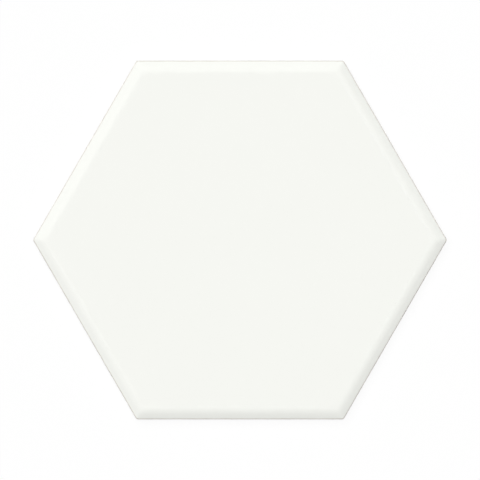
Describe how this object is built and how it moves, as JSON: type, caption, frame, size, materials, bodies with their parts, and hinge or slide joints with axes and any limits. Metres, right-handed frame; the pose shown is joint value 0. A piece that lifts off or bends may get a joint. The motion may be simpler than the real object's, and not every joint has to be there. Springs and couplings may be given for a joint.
{
  "type": "hexagon floor tile",
  "caption": "White glazed porcelain floor tile, a regular hexagon with cushioned edges and a keyed honeycomb back, stored lying on its back.",
  "frame": {"origin": "middle of the back, on the plane of its rim and ribs", "axes": "+Z out of the glazed face, +X through a corner, +Y across the middle of a side"},
  "size_m": [0.2018, 0.175, 0.009],
  "materials": {
    "glazed_porcelain": "satin white glaze on the face and upper side, bare fired porcelain below and on the back"
  },
  "bodies": {
    "root": {"hexagon_tile": "glazed_porcelain"}
  },
  "joints": []
}
